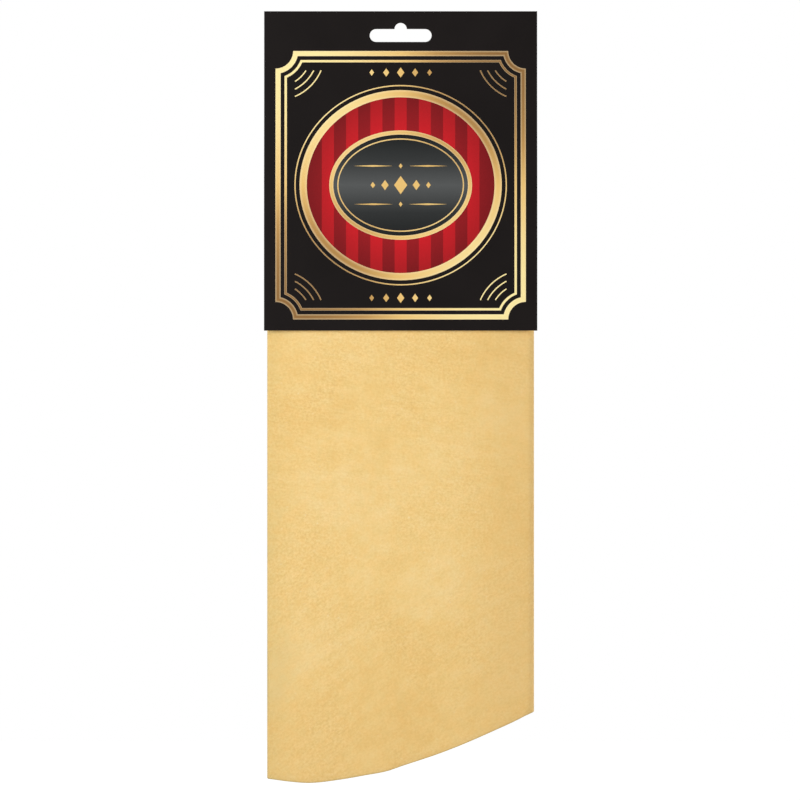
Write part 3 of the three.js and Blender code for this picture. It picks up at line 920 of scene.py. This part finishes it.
# Prints closed strokes, open strokes and filled shapes on the bent face of one panel.
def printOnCard(name, material, layer, strokes=(), openStrokes=(), fills=(), panel="front"):
    flatMesh = bmesh.new()
    strokeMap = flatMesh.loops.layers.uv.new("stroke")
    for isClosed, pairs in ((True, strokes), (False, openStrokes)):
        for outer, inner in pairs:
            outerRow = [flatMesh.verts.new((x, z, 0)) for x, z in outer]
            innerRow = [flatMesh.verts.new((x, z, 0)) for x, z in inner]
            count = len(outer)
            for i in range(count if isClosed else count - 1):
                k = (i + 1) % count
                face = flatMesh.faces.new((outerRow[i], outerRow[k], innerRow[k], innerRow[i]))
                for corner, place in zip(face.loops, ((i, 0), (i + 1, 0), (i + 1, 1), (i, 1))):
                    corner[strokeMap].uv = place
    for loop in fills:
        face = flatMesh.faces.new([flatMesh.verts.new((x, z, 0)) for x, z in loop])
        for corner in face.loops:
            corner[strokeMap].uv = (0, 0.5)
    bmesh.ops.triangulate(flatMesh, faces=flatMesh.faces[:])
    cutAtRows(flatMesh, bendRows)
    side = -1 if panel == "front" else 1
    offset = card["thickness"] / 2 + layer * label["ink"]
    for vertex in flatMesh.verts:
        x, z = vertex.co.x, vertex.co.y
        vertex.co = Vector((x, side * (boardDistance(z) + offset), z)) * mm
    bmesh.ops.dissolve_degenerate(flatMesh, edges=flatMesh.edges[:], dist=label["shortest"] * mm)
    flatMesh.normal_update()
    for face in flatMesh.faces:
        face.smooth = True
        if face.normal.y * side < 0:
            face.normal_flip()
    bmesh.ops.solidify(flatMesh, geom=flatMesh.faces[:], thickness=label["film"] * mm)
    flatMesh.normal_update()
    for edge in flatMesh.edges:
        edge.smooth = edge.calc_face_angle(0) < card["sharpFrom"]
    mesh = bpy.data.meshes.new(name)
    flatMesh.to_mesh(mesh)
    flatMesh.free()
    mesh.materials.append(material)
    piece = addObject(name, mesh)
    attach(piece, "header_" + panel)


def printFrames(gold):
    width, height, scoop = label["halfWidth"], labelHalfHeight, label["scoop"]
    lineStart = label["frameStroke"] + label["strokeGap"]
    lineEnd = lineStart + label["innerStroke"]
    strokes = [(scoopedLoop(width, height, scoop, start), scoopedLoop(width, height, scoop, end))
               for start, end in ((0, label["frameStroke"]), (lineStart, lineEnd))]
    arcs = []
    for i in range(1, label["echoArcs"] + 1):
        radius = scoop + lineEnd + i * label["echoStep"]
        lean = math.degrees(math.asin((lineEnd + 2 * label["strokeGap"]) / radius))
        for right, up, start in scoops:
            corner = (right * width, labelMiddle + up * height)
            arcs.append(tuple(arcPoints(*corner, r, start + 90 - lean, start + lean)
                              for r in (radius, radius + label["hairline"])))
    printOnCard("printed_frame", gold, 1, strokes=strokes, openStrokes=arcs)
    hairlines = [(scoopedLoop(width, height, scoop, start),
                  scoopedLoop(width, height, scoop, start + label["hairline"]))
                 for start in (0, label["strokeGap"])]
    printOnCard("printed_back_frame", gold, 1, strokes=hairlines, panel="back")


def printOval(gold):
    width, height = label["ovalHalfWidth"], label["ovalHalfHeight"]
    printOnCard("printed_red_oval", redInk("redInkDeep"), 1, fills=[ovalLoop(width, height, 0)])
    stripes = []
    step, count = label["stripe"], label["stripeSteps"]
    outermost = math.floor(width / step / 2)
    for i in range(-outermost, outermost + 1):
        left, right = (2 * i - 0.5) * step, min((2 * i + 0.5) * step, width)
        xs = [left + (right - left) * k / count for k in range(count + 1)]
        crown = [(x, height * math.sqrt(1 - min((x / width) ** 2, 1))) for x in xs]
        stripes.append([(x, labelMiddle + z) for x, z in reversed(crown)]
                       + [(x, labelMiddle - z) for x, z in crown])
    printOnCard("printed_red_stripes", redInk("redInkBright"), 2, fills=stripes)
    line = label["ovalStroke"] + label["strokeGap"]
    printOnCard("printed_oval_ring", gold, 3, strokes=[
        ovalRing(width, height, 0, label["ovalStroke"]),
        ovalRing(width, height, line, line + label["hairline"]),
    ])


def printMedallion(gold):
    width, height = label["medallionHalfWidth"], label["medallionHalfHeight"]
    line = -label["medallionStroke"] - label["strokeGap"]
    printOnCard("printed_charcoal_oval", charcoalInk(), 4, fills=[ovalLoop(width, height, 0)])
    printOnCard("printed_charcoal_ring", gold, 5, strokes=[
        ovalRing(width, height, -label["medallionStroke"], 0),
        ovalRing(width, height, line - label["hairline"], line),
    ])


def printLozenges(gold):
    size, slim = label["lozenge"], label["lozengeWidth"]
    ovalTop = label["ovalHalfHeight"] + label["ovalStroke"] + label["strokeGap"]
    rowHeight = (ovalTop + labelHalfHeight) / 2 - label["strokeGap"]
    ruleHeight = label["ruleRise"] * label["medallionHalfHeight"]
    ruleSize = (label["ruleHalfLength"], label["ruleHalfHeight"])
    small = size * label["ruleLozenge"]
    shapes = []  # place from the label's middle, half width and half height
    for up in (-1, 1):
        for i in range(-2, 3):
            grown = size * (1 - label["lozengeShrink"] * abs(i))
            shapes.append((i * label["lozengeStep"], up * rowHeight, grown * slim, grown))
        for side in (-1, 1):
            shapes.append((side * label["ruleCentre"], up * ruleHeight, *ruleSize))
        shapes.append((0, up * ruleHeight, small * slim, small))
    for out, width, height in label["middleLozenges"]:
        shapes += [(x, 0, width * size, height * size) for x in sorted({-out, out})]
    printOnCard("printed_lozenges", gold, 6, fills=[
        lozengeLoop(x, labelMiddle + z, width, height) for x, z, width, height in shapes])


gold = goldInk()
printFrames(gold)
printOval(gold)
printMedallion(gold)
printLozenges(gold)
print("stage 5: the label is printed")


adhesive = {
    "streak": (9.0, 2.0, 2.5),  # mm across, through and down one streak
    "noise": {"Scale": 1.0, "Detail": 2.0},
    "tones": ((0.3, "#dfdac9"), (0.7, "#e9e5d6")),
    "relief": {"Strength": 0.2, "Distance": 0.03 * mm},
    "strips": ("front_holding_strip", "back_holding_strip",
               "left_closing_strip", "right_closing_strip"),
}


# Acrylic adhesive on a film carrier: milky, smooth, slightly shiny.
def acrylicAdhesive():
    material, tree, shader = startMaterial("acrylicAdhesive", {
        "Roughness": 0.35,
        "IOR": 1.47,
    })
    place = addNode(tree, "TexCoord").outputs["Object"]
    scale = [1 / (size * mm) for size in adhesive["streak"]]
    streaks = addNode(tree, "Mapping", {"Scale": scale}, {"Vector": place})
    plainFinish(tree, shader, streaks, adhesive["noise"], adhesive["tones"], adhesive["relief"])
    return material


acrylic = acrylicAdhesive()
for stripName in adhesive["strips"]:
    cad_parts[stripName].data.materials.clear()
    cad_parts[stripName].data.materials.append(acrylic)
print("stage 6: the adhesive strips have their finish")


# The stage: a white floor below the hanging pack, an even white sky and four soft lamps, with
# the main one to the front's upper left.
stage = {
    "floorBelow": 210.0,  # mm under the hem
    "floorSize": 12.0,  # metres
    "paper": "#f2f2f2",
    "shadowPaper": "#a0a0a0",  # under the glow, so that a shadow still shows
    "glowPlaces": (0.3, 1.8),  # metres from the pack, from where to where the glow grows
    "glowStrengths": (0.74, 0.92),
    "skyStrength": 0.41,
    "lampSize": 0.6,
    "lamps": (  # place from the pack's middle in metres, and watts
        ((-0.58, -0.62, 0.38), 5.3),
        ((1.35, -0.7, 0.0), 6.4),
        ((-1.0, 1.1, 0.3), 7.0),
        ((1.0, 1.1, 0.3), 7.0),
    ),
}


# Tells a ray that is seen, from the camera or as one of these kinds, from one that only lights.
def seenRay(tree, kinds):
    rays = addNode(tree, "LightPath").outputs
    seen = rays["Is Camera Ray"]
    for kind in kinds:
        seen = addNode(tree, "Math", None, {0: seen, 1: rays["Is " + kind + " Ray"]},
                       operation="MAXIMUM")
    return seen


# Seamless white paper: nearest the pack it still shows a shadow, further out it runs into the sky.
def seamlessPaper():
    material, tree, shader = startMaterial("seamlessPaper", {
        "Base Color": fromHex(stage["paper"]),
        "Roughness": 0.9,
        "Specular IOR Level": 0.1,
    })
    place = addNode(tree, "TexCoord").outputs["Object"]
    flat = addNode(tree, "VectorMath", {1: (1.0, 1.0, 0.0)}, {0: place}, operation="MULTIPLY")
    away = addNode(tree, "VectorMath", None, {0: flat}, operation="LENGTH").outputs["Value"]
    (near, far), (nearGlow, farGlow) = stage["glowPlaces"], stage["glowStrengths"]
    strength = addNode(tree, "MapRange", {
        "From Min": near, "From Max": far, "To Min": nearGlow, "To Max": farGlow,
    }, {"Value": away})
    glow = addNode(tree, "Emission", {"Color": fromHex("#ffffff")}, {"Strength": strength})
    paper = addNode(tree, "BsdfDiffuse", {"Color": fromHex(stage["shadowPaper"])})
    bright = addNode(tree, "AddShader", None, {0: paper, 1: glow})
    seen = seenRay(tree, ("Glossy", "Transmission"))
    plug(tree, tree.nodes["Material Output"], {
        "Surface": addNode(tree, "MixShader", None, {0: seen, 1: shader, 2: bright}),
    })
    return material


def whiteSky():
    world = bpy.data.worlds.new("sky")
    bpy.context.scene.world = world
    world.use_nodes = True
    tree = world.node_tree
    background = tree.nodes["Background"]
    background.inputs["Color"].default_value = fromHex("#ffffff")
    strength = addNode(tree, "MapRange", {"To Min": stage["skyStrength"], "To Max": 1.0},
                       {"Value": seenRay(tree, ("Transmission",))})
    plug(tree, background, {"Strength": strength})


def makeStage():
    half = stage["floorSize"] / 2 / mm
    floorHeight = hideLow[2] - stage["floorBelow"]
    places = [(-half, -half), (half, -half), (half, half), (-half, half)]
    floor = meshObject("floor", [(x, y, floorHeight) for x, y in places], [(0, 1, 2, 3)],
                       [seamlessPaper()])
    whiteSky()
    middle = Vector((0, 0, (cadBounds[0][2] + cadBounds[1][2]) / 2))
    for place, watts in stage["lamps"]:
        data = bpy.data.lights.new("softbox", "AREA")
        data.shape = "SQUARE"
        data.size = stage["lampSize"]
        data.energy = watts
        lamp = addObject("softbox", data)
        lamp.location = middle + Vector(place)
        lamp.rotation_euler = Vector(place).to_track_quat("Z", "Y").to_euler()
    bpy.context.scene.view_settings.view_transform = "Standard"


makeStage()
print("stage 7: the floor, lamps and sky are set")
